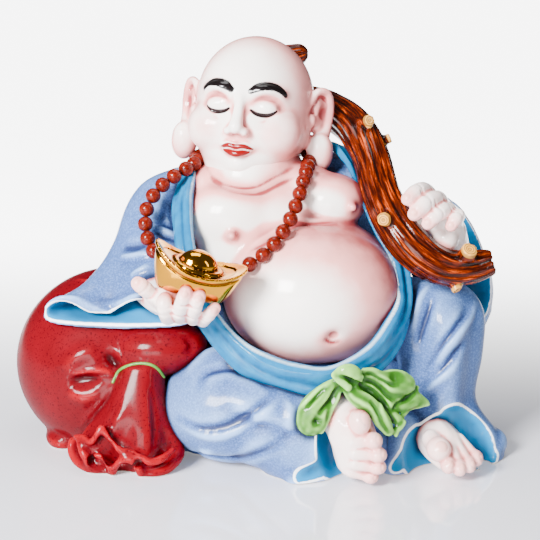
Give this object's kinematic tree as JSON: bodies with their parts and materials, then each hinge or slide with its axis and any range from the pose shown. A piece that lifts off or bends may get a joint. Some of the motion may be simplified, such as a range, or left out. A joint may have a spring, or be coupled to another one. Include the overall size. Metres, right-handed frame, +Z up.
{
  "type": "budai figure",
  "caption": "Glazed porcelain figure of a seated monk with a bare belly, leaning on a tied sack and holding an ingot and a crooked staff, with loose strung prayer beads.",
  "frame": {"origin": "on the flat underside, at the centre of the footprint of the whole outline", "axes": "+Z up, -Y the way the figure faces, +X towards the raised knee and the staff"},
  "size_m": [0.3011, 0.2001, 0.247],
  "materials": {
    "glazed_body": "glossy clear glaze over painted flesh, lavender-blue robe, turquoise linings, red sack and green sash",
    "staff_glaze": "glossy brown and orange glaze over carved wood grain",
    "gold_lustre": "bright gold lustre fired over the glaze",
    "bead_glaze": "glossy brick-red glaze with dark specks",
    "thread": "thin dark red cotton thread"
  },
  "bodies": {
    "root": {"figure": "glazed_body", "staff": "staff_glaze", "ingot": "gold_lustre", "thread": "thread", "bead_01": "bead_glaze", "bead_02": "bead_glaze", "bead_03": "bead_glaze", "bead_04": "bead_glaze", "bead_05": "bead_glaze", "bead_06": "bead_glaze", "bead_07": "bead_glaze", "bead_08": "bead_glaze", "bead_09": "bead_glaze", "bead_10": "bead_glaze", "bead_11": "bead_glaze", "bead_12": "bead_glaze", "bead_13": "bead_glaze", "bead_14": "bead_glaze", "bead_15": "bead_glaze", "bead_16": "bead_glaze", "bead_17": "bead_glaze", "bead_18": "bead_glaze", "bead_19": "bead_glaze", "bead_20": "bead_glaze", "bead_21": "bead_glaze", "bead_22": "bead_glaze", "bead_23": "bead_glaze", "bead_24": "bead_glaze", "bead_25": "bead_glaze", "bead_26": "bead_glaze", "bead_27": "bead_glaze", "bead_28": "bead_glaze", "bead_29": "bead_glaze", "bead_30": "bead_glaze", "bead_31": "bead_glaze", "bead_32": "bead_glaze", "bead_33": "bead_glaze", "bead_34": "bead_glaze", "bead_35": "bead_glaze", "bead_36": "bead_glaze", "bead_37": "bead_glaze", "bead_38": "bead_glaze", "bead_39": "bead_glaze", "bead_40": "bead_glaze", "bead_41": "bead_glaze"}
  },
  "joints": []
}
